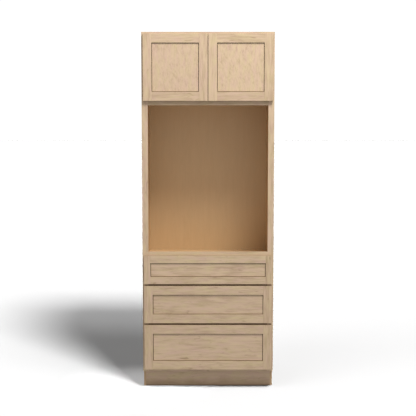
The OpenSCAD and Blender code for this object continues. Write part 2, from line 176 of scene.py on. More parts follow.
# ---------------------------------------------------------------- wood
# Every board carries two attributes. "grain" is a point's place in its own board,
# in metres: X along the grain, Y across the face, Z through the thickness, all
# moved by a random amount, so no two boards share a figure. "board" is a colour:
# R lighter or darker, on some boards and narrow edges as painted shade or painted
# light, G yellower or pinker, B how strong the figure is.
def wood(name, pale, pink, dark, streak=0.09, fibre=0.06, ring=0.10, blotch=0.6,
         curl=0.0, fleck=0.12, knot=0.0, rough=0.52, spec=0.35, bump=0.25, coat=0.0, calm=1.0, contact_shade=0.0,
         mottle=(0.0, 10.0, 80.0)):
    t = Tree(name)
    p = t.attr("grain").outputs["Vector"]
    tone = t.nt.nodes.new("ShaderNodeSeparateColor")
    t.put(tone.inputs[0], t.attr("board").outputs["Color"])
    light, hue, figure = tone.outputs

    # Slow waves of the grain, which bend every finer pattern
    flow = t.noise(p, stretch=(3.1, 16.0, 16.0), detail=2.0, rough=0.45)
    flow2 = t.noise(p, stretch=(7.3, 34.0, 34.0), detail=1.0, rough=0.5)
    x, y, z = t.xyz(p)
    bend = t.math("ADD", t.math("MULTIPLY", t.math("SUBTRACT", flow, 0.5), 0.050),
                  t.math("MULTIPLY", t.math("SUBTRACT", flow2, 0.5), 0.014))
    yb = t.math("ADD", y, bend)
    zb = t.math("ADD", z, t.math("MULTIPLY", bend, 0.8))
    q = t.join(x, yb, zb)

    # Growth rings round a pith that lies to one side of the board
    r = t.math("SQRT", t.math("ADD", t.math("MULTIPLY", yb, yb), t.math("MULTIPLY", zb, zb)))
    uneven = t.noise(t.join(t.math("MULTIPLY", x, 0.8), t.math("MULTIPLY", r, 60.0), 0.0), scale=1.0, detail=2.0, rough=0.6)
    phase = t.math("ADD", t.math("MULTIPLY", r, 2 * math.pi / 0.0062), t.math("MULTIPLY", uneven, 7.0))
    wave = t.math("MULTIPLY_ADD", t.math("SINE", phase), 0.5, 0.5)
    late = t.math("POWER", wave, 3.0)

    # Streaks, fibres and small dark pores, all long and narrow
    streaks = t.noise(q, stretch=(4.5, 130.0, 130.0), detail=4.0, rough=0.6)
    broad = t.noise(q, stretch=(5.0, 34.0, 34.0), detail=2.0, rough=0.5)
    fibres = t.noise(q, stretch=(26.0, 900.0, 900.0), detail=2.0, rough=0.6)
    pores = t.span(t.noise(q, stretch=(48.0, 620.0, 620.0), detail=1.0, rough=0.5), 0.66, 0.78, smooth=True)

    # Soft patches of yellow and pink, drawn out along the grain
    patch = t.noise(p, stretch=(11.0, 30.0, 30.0), detail=2.5, rough=0.55, dist=0.3)
    patch2 = t.noise(q, stretch=(14.0, 60.0, 60.0), detail=2.0, rough=0.55)
    warm = t.math("ADD", t.math("MULTIPLY", t.math("SUBTRACT", patch, 0.5), 2.6 * blotch),
                  t.math("MULTIPLY", t.math("SUBTRACT", patch2, 0.5), 1.8 * blotch))
    warm = t.math("ADD", warm, t.math("MULTIPLY_ADD", hue, 1.0, 0.0), clamp=True)
    colour = t.mix(warm, pale, pink)

    # How much darker the figure makes each place
    d = t.math("MULTIPLY", t.math("SUBTRACT", 0.5, streaks), 2.0 * streak)
    d = t.math("ADD", d, t.math("MULTIPLY", t.math("SUBTRACT", 0.5, broad), 1.8 * streak))
    d = t.math("ADD", d, t.math("MULTIPLY", t.math("SUBTRACT", 0.5, fibres), 2.0 * fibre))
    d = t.math("ADD", d, t.math("MULTIPLY", late, ring))
    if mottle[0]:
        # Soft light and dark places, a little longer than they are wide
        m1 = t.noise(p, stretch=(mottle[1], mottle[2], mottle[2]), detail=2.0, rough=0.55, dist=0.4)
        m2 = t.noise(q, stretch=(mottle[1] * 0.45, mottle[2] * 0.5, mottle[2] * 0.5), detail=1.0, rough=0.5)
        m = t.math("ADD", t.math("SUBTRACT", 0.5, m1), t.math("MULTIPLY", t.math("SUBTRACT", 0.5, m2), 0.6))
        d = t.math("ADD", d, t.math("MULTIPLY", m, 2.0 * mottle[0]))
    if curl:
        # Cross-grain shimmer: short slanting flecks, strongest in drifts
        slant = t.vec("MULTIPLY", p, (1.0, 1.0, 1.0))
        sx, sy, sz = t.xyz(slant)
        a = t.math("ADD", t.math("MULTIPLY", sx, 0.80), t.math("MULTIPLY", sy, 0.60))
        b = t.math("SUBTRACT", t.math("MULTIPLY", sy, 0.80), t.math("MULTIPLY", sx, 0.60))
        c1 = t.noise(t.join(a, b, sz), stretch=(46.0, 110.0, 20.0), detail=2.0, rough=0.6, dist=0.6)
        c2 = t.noise(t.join(a, b, sz), stretch=(18.0, 52.0, 12.0), detail=2.0, rough=0.55, dist=0.5)
        drift = t.span(t.noise(p, stretch=(7.0, 9.0, 9.0), detail=1.0), 0.36, 0.62, 0.35, 1.0, smooth=True)
        shimmer = t.math("ADD", t.math("MULTIPLY", t.math("SUBTRACT", c1, 0.5), 1.0),
                         t.math("MULTIPLY", t.math("SUBTRACT", c2, 0.5), 1.2))
        d = t.math("ADD", d, t.math("MULTIPLY", t.math("MULTIPLY", shimmer, drift), -2.0 * curl))
    d = t.math("MULTIPLY", d, t.math("MULTIPLY_ADD", figure, 1.0, 0.5))
    d = t.math("ADD", d, t.math("MULTIPLY", pores, fleck))
    if knot:
        spots = t.noise(p, stretch=(16.0, 62.0, 62.0), detail=1.5, rough=0.5, dist=0.5)
        d = t.math("ADD", d, t.math("MULTIPLY", t.span(spots, 0.64, 0.78, smooth=True), knot))
    d = t.math("MULTIPLY", d, calm)
    shade = t.math("SUBTRACT", t.math("MULTIPLY_ADD", light, 0.24, 0.88), d)
    shade = t.math("MAXIMUM", shade, 0.2)
    if contact_shade:
        # Painted shade where the board meets the floor: darker low down, with a ragged edge, and a dark line at its
        # very foot
        low = t.xyz(t.coords())[2]
        ragged = t.math("MULTIPLY_ADD", t.noise(t.coords(), stretch=(14.0, 14.0, 30.0), detail=3.0), 0.04, low)
        shade = t.math("MULTIPLY", shade, t.span(ragged, 0.005, 0.095, 1.0 - contact_shade, 1.0, smooth=True))
        shade = t.math("MULTIPLY", shade, t.span(low, 0.004, 0.009, 0.66, 1.0, smooth=True))
    # Darker places are also browner, so the shade tells on blue most
    deep = t.span(shade, 0.72, 1.0, 1.0, 0.0)
    colour = t.mix(deep, colour, dark)
    colour = t.vec("SCALE", colour, scale=shade)

    height = t.math("ADD", t.math("MULTIPLY", fibres, 0.7), t.math("MULTIPLY", streaks, 0.5))
    height = t.math("SUBTRACT", height, t.math("MULTIPLY", pores, 0.8))
    rg = t.math("ADD", t.math("MULTIPLY", t.math("SUBTRACT", fibres, 0.5), 0.16),
                t.math("MULTIPLY", t.math("SUBTRACT", streaks, 0.5), 0.10))
    t.set(Base_Color=colour, Roughness=t.math("ADD", rg, rough), Normal=t.bump(height, bump, 0.0002))
    t.bsdf.inputs["Specular IOR Level"].default_value = spec
    t.bsdf.inputs["Coat Weight"].default_value = coat
    t.bsdf.inputs["Coat Roughness"].default_value = 0.32
    return t.mat


def ply_edge(name, face, core, glue, rough=0.6):
    """The edge of a plywood sheet: thin plies, turn and turn about, with glue lines."""
    t = Tree(name)
    p = t.attr("grain").outputs["Vector"]
    x, y, z = t.xyz(t.attr("sheet").outputs["Vector"])
    wob = t.math("MULTIPLY", t.math("SUBTRACT", t.noise(t.coords(), stretch=(9.0, 9.0, 9.0), detail=2.0), 0.5), 0.0006)
    k = t.math("DIVIDE", t.math("ADD", z, wob), 0.0014)
    f = t.math("FRACT", k)
    turn = t.math("PINGPONG", k, 1.0)
    cross = t.span(turn, 0.35, 0.65, 0.0, 1.0, smooth=True)
    seam = t.math("MAXIMUM", t.span(f, 0.0, 0.10, 1.0, 0.0), t.span(f, 0.90, 1.0, 0.0, 1.0))
    grit = t.noise(t.coords(), stretch=(420.0, 420.0, 420.0), detail=2.0)
    colour = t.mix(cross, face, core)
    colour = t.mix(t.math("MULTIPLY", seam, 0.35), colour, glue)
    colour = t.mix(t.math("MULTIPLY", grit, 0.25), colour, glue)
    t.set(Base_Color=colour, Roughness=t.math("MULTIPLY_ADD", grit, 0.15, rough),
          Normal=t.bump(t.math("ADD", t.math("MULTIPLY", cross, 0.3), t.math("MULTIPLY", grit, 0.7)), 0.3, 0.0002))
    t.bsdf.inputs["Specular IOR Level"].default_value = 0.25
    return t.mat


def metal(name, base, dark, rough=0.34, brushed=(12.0, 900.0, 900.0)):
    """Zinc-plated sheet steel: bright, faintly brushed, with cloudy spangle."""
    t = Tree(name)
    p = t.coords()
    cloud = t.noise(p, stretch=(60.0, 60.0, 60.0), detail=3.0, rough=0.6)
    lines = t.noise(p, stretch=brushed, detail=2.0, rough=0.6)
    colour = t.mix(t.span(cloud, 0.3, 0.7), base, dark)
    r = t.math("ADD", t.math("MULTIPLY", t.math("SUBTRACT", lines, 0.5), 0.22),
               t.math("MULTIPLY", t.math("SUBTRACT", cloud, 0.5), 0.14))
    t.set(Base_Color=colour, Roughness=t.math("ADD", r, rough), Normal=t.bump(lines, 0.12, 0.0001))
    t.bsdf.inputs["Metallic"].default_value = 1.0
    return t.mat


def plastic(name, base, rough=0.5, grain=900.0):
    t = Tree(name)
    p = t.coords()
    a = t.noise(p, scale=grain, detail=2.0, rough=0.6)
    b = t.noise(p, scale=40.0, detail=2.0, rough=0.5)
    dark = tuple(c * 0.8 for c in base)
    t.set(Base_Color=t.mix(t.span(b, 0.3, 0.7), dark, base),
          Roughness=t.math("MULTIPLY_ADD", a, 0.16, rough - 0.08), Normal=t.bump(a, 0.15, 0.0001))
    t.bsdf.inputs["Specular IOR Level"].default_value = 0.4
    return t.mat


def urethane(name):
    t = Tree(name)
    p = t.coords()
    b = t.noise(p, scale=160.0, detail=2.0, rough=0.5)
    t.set(Base_Color=t.mix(b, (0.80, 0.83, 0.84), (0.92, 0.94, 0.95)),
          Roughness=t.math("MULTIPLY_ADD", b, 0.1, 0.12))
    t.bsdf.inputs["Transmission Weight"].default_value = 0.75
    t.bsdf.inputs["IOR"].default_value = 1.48
    return t.mat


PALE, PINK, DARK = srgb(202, 180, 142), srgb(203, 173, 150), srgb(168, 137, 104)
MAT = {
    "solid": wood("maple_solid", PALE, PINK, DARK, streak=0.04, fibre=0.035, ring=0.02, blotch=0.7, fleck=0.05, knot=0.10,
                  mottle=(0.11, 11.0, 80.0)),
    "veneer": wood("maple_veneer", PALE, PINK, DARK, streak=0.022, fibre=0.035, ring=0.012, blotch=0.7, fleck=0.05,
                   curl=0.055, knot=0.03, mottle=(0.115, 42.0, 100.0)),
    "side": wood("maple_veneer_side", PALE, PINK, DARK, streak=0.04, fibre=0.035, ring=0.02, blotch=0.7, fleck=0.05,
                 curl=0.03, knot=0.02, mottle=(0.055, 9.0, 60.0)),
    "flat": wood("maple_veneer_flat", PALE, PINK, DARK, streak=0.04, fibre=0.035, ring=0.022, blotch=0.7, fleck=0.05, knot=0.11,
                 mottle=(0.13, 10.0, 72.0)),
    # The toe board is given painted shade towards the floor
    "kick": wood("maple_toe_board", PALE, PINK, DARK, streak=0.04, fibre=0.035, ring=0.02, blotch=0.9, fleck=0.05, knot=0.10,
                 contact_shade=0.24),
    # Painted shade for the groove round a panel's field, and a lighter copy for its foot, where light from above falls
    "shade": wood("maple_painted_groove_shade", srgb(66, 52, 36), srgb(62, 48, 34), srgb(44, 34, 24), streak=0.05, fibre=0.05,
                  ring=0.02, blotch=0.5, fleck=0.05, rough=0.7, spec=0.1),
    "groove_shade_lit_foot": wood("maple_painted_groove_foot_light", srgb(152, 124, 92), srgb(148, 120, 90), srgb(120, 96, 70), streak=0.05,
                      fibre=0.05, ring=0.02, blotch=0.5, fleck=0.05, rough=0.7, spec=0.1),
    "inside": wood("maple_ply_inside", srgb(209, 179, 135), srgb(209, 175, 131), srgb(186, 148, 106),
                   streak=0.016, fibre=0.014, ring=0.01, blotch=0.25, fleck=0.03, rough=0.42, coat=0.15, bump=0.1),
    "edge": ply_edge("maple_ply_edge", srgb(212, 184, 146), srgb(182, 146, 108), srgb(120, 84, 56)),
    "box": wood("birch_box", srgb(222, 196, 152), srgb(218, 186, 146), srgb(190, 152, 108),
                streak=0.06, fibre=0.05, ring=0.09, blotch=0.4, fleck=0.06, rough=0.4, coat=0.2),
    "box_edge": ply_edge("birch_ply_edge", srgb(216, 188, 146), srgb(184, 146, 104), srgb(116, 80, 50)),
    "zinc": metal("zinc_steel", (0.66, 0.67, 0.69), (0.52, 0.53, 0.56)),
    "nylon": plastic("grey_nylon", (0.085, 0.088, 0.095)),
    "clear": urethane("clear_pad"),
}


# ---------------------------------------------------------------- boards
AXES = {"x": 0, "y": 1, "z": 2}
# Boards that came from darker stock than the rest
DARKER = {"left_frame_stile": 0.06, "drawer_1_front_panel": 0.08, "drawer_2_front_rails": 0.15,
          "drawer_3_front_panel": 0.10, "drawer_3_front_rails": 0.06}


def islands(bm):
    """The separate solids in a mesh, each as a set of faces."""
    left, found = set(bm.faces), []
    while left:
        todo, seen = [min(left, key=lambda f: f.index)], set()
        while todo:
            f = todo.pop()
            if f in seen:
                continue
            seen.add(f)
            for e in f.edges:
                todo.extend(g for g in e.link_faces if g not in seen)
        left -= seen
        found.append(seen)
    return found


def refine(node, mats, grain=None, ease=None, tone=None, pick=None, thin=None, mean=0.05, seeds=None, edge_shade=0.0,
           split=None):
    """Make a finished copy of a node made of boards: clean faces, eased edges,
    grain and tone for each board. mats are the materials; pick(face, normal,
    thin axis) gives the index of one. ease(a, b, n1, n2) gives a rounding
    in mm for the edge from a to b between faces of normals n1 and n2. edge_shade
    is how much darker the narrow edges of a board are painted than its faces,
    as painted shade for the gaps and recesses they face. split is the Y of a
    panel's field: its faces are parted along the field's low edge."""
    src = NODES[node]
    bm = bmesh.new()
    bm.from_mesh(src.data)
    bmesh.ops.remove_doubles(bm, verts=bm.verts, dist=2e-6)
    bmesh.ops.dissolve_limit(bm, angle_limit=math.radians(0.6), verts=bm.verts, edges=bm.edges)
    bmesh.ops.recalc_face_normals(bm, faces=bm.faces)
    if split is not None:
        low = min(v.co.z for v in bm.verts if abs(v.co.y - split) < 2e-5)
        bmesh.ops.bisect_plane(bm, geom=bm.verts[:] + bm.edges[:] + bm.faces[:], dist=1e-6,
                               plane_co=(0, 0, low), plane_no=(0, 0, 1))
    bm.faces.index_update()
    gl = bm.verts.layers.float_vector.new("grain")
    sl = bm.verts.layers.float_vector.new("sheet")
    tl = bm.faces.layers.float_color.new("board")
    parts = islands(bm)
    parts.sort(key=lambda fs: tuple(round(c, 4) for c in sum((f.calc_center_median() for f in fs), Vector()) / len(fs)))
    for i, faces in enumerate(parts):
        vs = {v for f in faces for v in f.verts}
        lo = Vector(min(v.co[k] for v in vs) for k in range(3))
        hi = Vector(max(v.co[k] for v in vs) for k in range(3))
        size = hi - lo
        g = AXES[grain] if isinstance(grain, str) else (grain(i, size) if grain else max(range(3), key=lambda k: size[k]))
        rest = [k for k in range(3) if k != g]
        th = AXES[thin] if thin else min(rest, key=lambda k: size[k])
        wd = [k for k in rest if k != th][0] if th in rest else rest[0]
        rnd = random.Random(f"{node}.{i}.{(seeds or {}).get(i, 0)}")
        ox = rnd.uniform(0.0, 30.0)
        oy = rnd.uniform(-0.5, 0.5) * (hi[wd] - lo[wd]) * 0.7
        oz = rnd.choice((-1, 1)) * rnd.uniform(0.03, 0.10)
        flip = rnd.choice((-1, 1))
        tilt = rnd.uniform(-0.02, 0.02)
        mid = (lo + hi) / 2
        for v in vs:
            c = v.co - mid
            v[gl] = Vector((c[g] * flip + ox, c[wd] + oy + c[g] * tilt * 0.5, c[th] + oz + c[g] * tilt))
            v[sl] = Vector((c[g], c[wd], v.co[th] - lo[th])) if th != g else Vector((c[g], c[wd], c[th]))
        col = tone(i, mid) if tone else None
        if col is None:
            col = (0.5 + rnd.uniform(-1, 1) * 2.4 * mean, 0.5 + rnd.uniform(-1, 1) * 2.4 * mean, 0.5 + rnd.uniform(-0.1, 0.3))
        for f in faces:
            # Narrow edges painted darker: painted shade for the gaps and recesses they face
            lit = col[0] - DARKER.get(node, 0.0) - (edge_shade if abs(f.normal[th]) < 0.5 else 0.0)
            f[tl] = (lit, col[1], col[2], 1.0)
            f.material_index = pick(f, f.normal, th) if pick else 0
            f.smooth = False
    me = bpy.data.meshes.new(node + "_boards")
    if ease:
        wl = bm.edges.layers.float.new("bevel_weight_edge")
        for e in bm.edges:
            if len(e.link_faces) != 2 or not e.is_convex or e.calc_length() < 0.004:
                continue
            if e.calc_face_angle(0.0) < math.radians(40):
                continue
            w = ease(e.verts[0].co, e.verts[1].co, e.link_faces[0].normal, e.link_faces[1].normal)
            if w:
                e[wl] = w / 2.0
    bm.to_mesh(me)
    bm.free()
    for name in ("custom_normal", "sharp_edge"):
        if name in me.attributes:
            me.attributes.remove(me.attributes[name])
    for m in mats:
        me.materials.append(MAT[m])
    ob = bpy.data.objects.new(node + ".made", me)
    scene.collection.objects.link(ob)
    if ease:
        b = ob.modifiers.new("ease", "BEVEL")
        b.limit_method, b.width, b.segments, b.profile = "WEIGHT", 0.002, 2, 0.5
        b.offset_type, b.use_clamp_overlap, b.loop_slide = "OFFSET", True, True
        b.miter_outer = "MITER_SHARP"
    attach(ob, BODY_OF[node])
    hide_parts(node)
    return ob


def on(a, b, axis, value, tol=2e-5):
    return abs(a[axis] - value) < tol and abs(b[axis] - value) < tol


# Edges of the face frame: eased on its outer corners, crisp where boards meet
def ease_frame(a, b, n1, n2):
    if not (on(a, b, 1, Y_FF) or on(a, b, 1, Y_FB)):
        return 0
    if on(a, b, 0, X_OUT) or on(a, b, 0, -X_OUT):
        return 0.8
    if abs(a.x - b.x) < 1e-5 and abs(abs(a.x) - X_OPEN) < 2e-5:
        # the inner edge of a stile, and the end of a rail: a hairline joint
        return 0.35 if n1.x * a.x < -1e-4 or n2.x * a.x < -1e-4 else 0
    return 0.5


for n, figure in (("left_frame_stile", 4), ("right_frame_stile", 2)):
    refine(n, ["solid"], grain="z", ease=ease_frame, thin="y", seeds={0: figure})
# Tones for some boards: drawer_rails much darker, as painted shade in the gaps between drawer fronts where they show;
# oven_rail and oven_deck lighter, as painted light on their lit strips at the oven's foot; header_rail a little darker
TONE = {"drawer_rails": (-0.55, 0.5, 0.5), "oven_rail": (0.62, 0.4, 0.5), "header_rail": (0.3, 0.5, 0.5),
        "oven_deck": (1.3, 0.5, 0.5)}
for n in ("top_frame_rail", "header_rail", "oven_rail", "drawer_rails", "bottom_frame_rail"):
    refine(n, ["solid"], grain="x", ease=ease_frame, thin="y", tone=(lambda c: lambda i, m: c)(TONE.get(n)))


# Doors and drawer fronts
def ease_front(box):
    lo, hi = box

    def f(a, b, n1, n2):
        face = on(a, b, 1, Y_DF) or on(a, b, 1, Y_DB)
        sides = [k for k, v in ((0, lo.x), (0, hi.x), (2, lo.z), (2, hi.z)) if on(a, b, k, v)]
        if face and sides:
            return 1.1
        if len(sides) == 2:
            return 1.1
        if face:
            # inner edges, and the ends of rails where they meet the stiles
            if abs(a.x - b.x) < 1e-5 and abs(a.z - b.z) < 0.1 and box_is_rail(box, a):
                return 0
            return 0.35
        return 0
    return f


def box_is_rail(box, a):
    return min(abs(a.x - box[0].x), abs(a.x - box[1].x)) > 0.03


def union_box(*nodes):
    bs = [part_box(n) for n in nodes]
    return (Vector(min(b[0][k] for b in bs) for k in range(3)), Vector(max(b[1][k] for b in bs) for k in range(3)))


def ease_rails(box):
    lo, hi = box

    def f(a, b, n1, n2):
        if abs(a.x - b.x) < 1e-5:
            return 0
        face = on(a, b, 1, Y_DF) or on(a, b, 1, Y_DB)
        if not face:
            return 0
        return 1.1 if on(a, b, 2, lo.z) or on(a, b, 2, hi.z) else 0.35
    return f


def in_groove(field, low):
    """Painted shade in the narrow groove round a panel's field, lighter along its foot, where light falls from above.
    """
    def f(face, n, th):
        c = face.calc_center_median()
        if not 0.0001 < c.y - field < 0.003 or n.y > 0.5:
            return 0
        return 2 if c.z < low + 1e-5 else 1
    return f


def front(prefix, panel_grain):
    st, ra, pa = (prefix + s for s in ("stiles", "rails", "panel"))
    box = union_box(st, ra)
    # The narrow edges of stiles and rails get painted shade, for the gaps and recesses they face
    refine(st, ["solid"], grain="z", thin="y", ease=ease_front(box), edge_shade=0.5)
    refine(ra, ["solid"], grain="x", thin="y", ease=ease_rails(box), edge_shade=0.5)
    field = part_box(pa)[0].y
    low = min(v.co.z for v in NODES[pa].data.vertices if abs(v.co.y - field) < 2e-5)
    refine(pa, ["veneer" if panel_grain == "z" else "flat", "shade", "groove_shade_lit_foot"], grain=panel_grain, thin="y",
           ease=lambda a, b, n1, n2: 0.3 if on(a, b, 1, field) and abs(a.z - b.z) + abs(a.x - b.x) > 0.01 else 0,
           pick=in_groove(field, low), split=field)


for s in ("left", "right"):
    front(s + "_door_", "z")
for i in (1, 2, 3):
    front(f"drawer_{i}_front_", "x")


# Carcass panels: outer veneer, coated inner faces, plies on every edge
def sheet_faces(out_axis, out_sign, outer=0, inner=1, edge=2):
    def f(face, n, th):
        if abs(n[th]) > 0.9:
            return outer if n[out_axis] * out_sign > 0 else inner
        return edge
    return f


def small_ease(w):
    return lambda a, b, n1, n2: w


refine("left_side_panel", ["side", "inside", "edge"], grain="z", thin="x", ease=small_ease(0.3),
       pick=sheet_faces(0, -1))
refine("right_side_panel", ["side", "inside", "edge"], grain="z", thin="x", ease=small_ease(0.3),
       pick=sheet_faces(0, 1))
for n in ("top_panel", "cupboard_floor", "oven_deck", "bottom_panel"):
    refine(n, ["inside", "edge"], grain="x", thin="z", ease=small_ease(0.3), tone=(lambda c: lambda i, m: c)(TONE.get(n)),
           pick=lambda f, n, th: 0 if abs(n[th]) > 0.9 else 1)
refine("back_panel", ["inside", "edge"], grain="z", thin="y", ease=small_ease(0.2),
       pick=lambda f, n, th: 0 if abs(n[th]) > 0.9 else 1)
refine("wall_rails", ["inside", "edge"], grain="x", thin="y", ease=small_ease(0.3),
       pick=lambda f, n, th: 0 if abs(n[th]) > 0.9 else 1)
refine("deck_cleats", ["inside", "edge"], grain="y", thin="x", ease=small_ease(0.5),
       pick=lambda f, n, th: 0 if abs(n[th]) > 0.9 else 1)
refine("toe_boards", ["kick", "edge"], grain="x", thin="y", ease=small_ease(0.3),
       pick=lambda f, n, th: 0 if abs(n[th]) > 0.9 else 1)

# Drawer boxes
for i in (1, 2, 3):
    box = union_box(f"drawer_{i}_box_sides", f"drawer_{i}_box_ends")
    top = box[1].z
    ease_top = (lambda t: lambda a, b, n1, n2: 0.8 if on(a, b, 2, t) and abs(a.x - b.x) + abs(a.y - b.y) > 0.02 else 0)(top)
    refine(f"drawer_{i}_box_sides", ["box"], grain="y", thin="x", ease=ease_top)
    refine(f"drawer_{i}_box_ends", ["box"], grain="x", thin="y", ease=ease_top)
    refine(f"drawer_{i}_box_bottom", ["box", "box_edge"], grain="x", thin="z", ease=None,
           pick=lambda f, n, th: 0 if abs(n[th]) > 0.9 else 1)


# ---------------------------------------------------------------- screws
def turned(profile, segments=28):
    """A closed solid turned round Z from a half profile of (radius, height), in mm."""
    bm = bmesh.new()
    rings = []
    for r, z in profile:
        if r < 1e-6:
            rings.append([bm.verts.new((0, 0, z * MM))])
        else:
            rings.append([bm.verts.new((r * MM * math.cos(2 * math.pi * k / segments),
                                        r * MM * math.sin(2 * math.pi * k / segments), z * MM))
                          for k in range(segments)])
    for a, b in zip(rings, rings[1:]):
        for k in range(segments):
            j = (k + 1) % segments
            if len(a) == 1:
                bm.faces.new((a[0], b[k], b[j]))
            elif len(b) == 1:
                bm.faces.new((a[k], b[0], a[j]))
            else:
                bm.faces.new((a[k], b[k], b[j], a[j]))
    bmesh.ops.recalc_face_normals(bm, faces=bm.faces)
    return bm


def cross_cutter(arm, width, top, depth):
    """A cross-shaped driver bit, tapered to its tip, in mm."""
    bm = bmesh.new()
    w, a = width / 2, arm / 2
    plan = [(a, -w), (a, w), (w, w), (w, a), (-w, a), (-w, w), (-a, w), (-a, -w), (-w, -w), (-w, -a), (w, -a), (w, -w)]
    hi = [bm.verts.new((x * MM, y * MM, (top + 1) * MM)) for x, y in plan]
    lo = [bm.verts.new((x * MM * 0.55, y * MM * 0.55, (top - depth) * MM)) for x, y in plan]
    bm.faces.new(hi)
    bm.faces.new(lo[::-1])
    for k in range(12):
        j = (k + 1) % 12
        bm.faces.new((hi[k], lo[k], lo[j], hi[j]))
    bmesh.ops.recalc_face_normals(bm, faces=bm.faces)
    return bm


def mesh_of(bm, name):
    me = bpy.data.meshes.new(name)
    bm.to_mesh(me)
    bm.free()
    return me


def cut(body, tool, name):
    """The first mesh with the second taken out of it."""
    a = bpy.data.objects.new(name + ".a", mesh_of(body, name + ".a"))
    b = bpy.data.objects.new(name + ".b", mesh_of(tool, name + ".b"))
    scene.collection.objects.link(a)
    scene.collection.objects.link(b)
    m = a.modifiers.new("cut", "BOOLEAN")
    m.operation, m.solver, m.object = "DIFFERENCE", "EXACT", b
    bpy.context.view_layer.update()
    me = bpy.data.meshes.new_from_object(a.evaluated_get(bpy.context.evaluated_depsgraph_get()))
    me.name = name
    for o in (a, b):
        old = o.data
        bpy.data.objects.remove(o)
        bpy.data.meshes.remove(old)
    return me


def shank(r, length):
    """Half profile of a threaded shank that goes down from z = 0."""
    out, z, n = [], 0.0, int(length / 1.1)
    for k in range(n):
        z = -k * 1.1
        taper = min(1.0, (n - k) / 3.0)
        out += [(r * taper, z - 0.15), (r * 0.72 * taper, z - 0.7)]
    return out + [(0.0, z - 1.1)]


# Each head stands on z = 0 and its thread goes down from there
PAN = cut(turned([(0, 2.1), (1.4, 2.05), (2.5, 1.75), (3.2, 1.2), (3.5, 0.55), (3.4, 0.0)] + shank(1.9, 9)),
          cross_cutter(3.9, 0.95, 2.1, 1.7), "pan_head_screw")
FLAT = cut(turned([(0, 0.42), (2.0, 0.40), (3.2, 0.22), (3.5, 0.0), (2.0, -1.1)] + [(r, z - 1.1) for r, z in shank(1.8, 9)]),
           cross_cutter(3.9, 0.95, 0.42, 1.9), "flat_head_screw")
WASHER = cut(turned([(0, 2.7), (1.5, 2.6), (2.8, 2.2), (3.5, 1.5), (3.7, 0.95), (5.1, 0.75), (5.3, 0.4), (5.1, 0.0)]
                    + shank(2.0, 12)), cross_cutter(4.2, 1.0, 2.7, 2.0), "washer_head_screw")
DRIVE = cut(turned([(0, 0.9), (1.8, 0.9), (2.4, 0.75), (2.6, 0.35), (2.6, -0.4), (0, -0.4)]),
            cross_cutter(3.4, 0.9, 0.9, 0.8), "adjusting_screw")


def screws(name, body, places, mat="zinc"):
    """One piece with a screw at each place: (mesh, point in mm, way its head faces)."""
    rnd = random.Random(name)
    bm = bmesh.new()
    for me, point, way in places:
        start = len(bm.verts)
        bm.from_mesh(me)
        bm.verts.ensure_lookup_table()
        turn = Vector(way).to_track_quat("Z", "Y").to_matrix().to_4x4()
        spin = Matrix.Rotation(rnd.uniform(0, math.pi / 2), 4, "Z")
        bmesh.ops.transform(bm, matrix=Matrix.Translation(Vector(point) * MM) @ turn @ spin,
                            verts=bm.verts[start:])
    me = mesh_of(bm, name)
    for f in me.polygons:
        f.use_smooth = True
    me.set_sharp_from_angle(angle=math.radians(38))
    me.materials.clear()
    me.materials.append(MAT[mat])
    ob = bpy.data.objects.new(name, me)
    scene.collection.objects.link(ob)
    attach(ob, body)
    return ob


F, B, DB = Y_FF / MM, Y_FB / MM, Y_DB / MM
HINGE_Z = [(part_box("right_hinge_cups")[0].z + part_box("right_hinge_cups")[1].z) / 2 / MM + k * 133.5 for k in (-1, 1)]
CUP_X = (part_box("right_hinge_cups")[0].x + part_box("right_hinge_cups")[1].x) / 2 / MM
for side, sg in (("left", -1), ("right", 1)):
    screws(side + "_hinge_cup_screws", side + "_door",
           [(FLAT, (sg * CUP_X, DB + 1.2, z + k * 22.5), (0, 1, 0)) for z in HINGE_Z for k in (-1, 1)])
screws("hinge_arm_screws", "cabinet",
       [(PAN, (sg * 379.3, F + 9.525, z + k * 21), (-sg, 0, 0)) for sg in (-1, 1) for z in HINGE_Z for k in (-1, 1)]
       + [(DRIVE, (sg * 373.2, F + y, z), (-sg, 0, 0)) for sg in (-1, 1) for z in HINGE_Z for y in (5.0, 11.6)])

tabs, ends = [], []
for i in (1, 2, 3):
    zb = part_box(f"drawer_{i}_box_sides")[0].z / MM
    for sg in (-1, 1):
        tabs += [(PAN, (sg * 395, B + 1.5, zb + w), (0, 1, 0)) for w in (1, 14)]
        ends += [(PAN, (sg * x, Y_IN / MM - 4, zb + 23), (0, -1, 0)) for x in (338, 370)]
    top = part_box(f"drawer_{i}_box_sides")[1].z / MM - zb
    rows = (0.62,) if top < 100 else (0.36, 0.8)
    screws(f"drawer_{i}_front_screws", f"drawer_{i}",
           [(WASHER, (sg * x, DB + 15.9, zb + top * w), (0, 1, 0)) for sg in (-1, 1) for x in (120, 300) for w in rows])
    screws(f"drawer_{i}_clip_screws", f"drawer_{i}",
           [(PAN, (sg * x, DB + 15.9 + 40, zb + 3), (0, 0, -1)) for sg in (-1, 1) for x in (300, 324)])
screws("slide_tab_screws", "cabinet", tabs)
screws("rear_bracket_screws", "cabinet", ends)

# Metal, plastic and the soft pads keep their CAD shapes
KEEP = {"zinc_steel": "zinc", "grey_nylon": "nylon", "clear_pad": "clear"}
for n, ob in NODES.items():
    if SLOT_OF[n] in KEEP:
        ob.data.materials.clear()
        ob.data.materials.append(MAT[KEEP[SLOT_OF[n]]])


# ---------------------------------------------------------------- stage
def plane(name, size, z=0.0):
    me = bpy.data.meshes.new(name)
    s = size / 2
    me.from_pydata([(-s, -s, z), (s, -s, z), (s, s, z), (-s, s, z)], [], [(0, 1, 2, 3)])
    ob = bpy.data.objects.new(name, me)
    scene.collection.objects.link(ob)
    return ob


floor = plane("studio_floor", 120.0)
t = Tree("studio_floor")
t.set(Base_Color=(0.15, 0.15, 0.15), Roughness=1.0)
t.bsdf.inputs["Specular IOR Level"].default_value = 0.0
floor.data.materials.append(t.mat)
floor.visible_diffuse = False
floor.visible_glossy = False
floor.visible_shadow = False

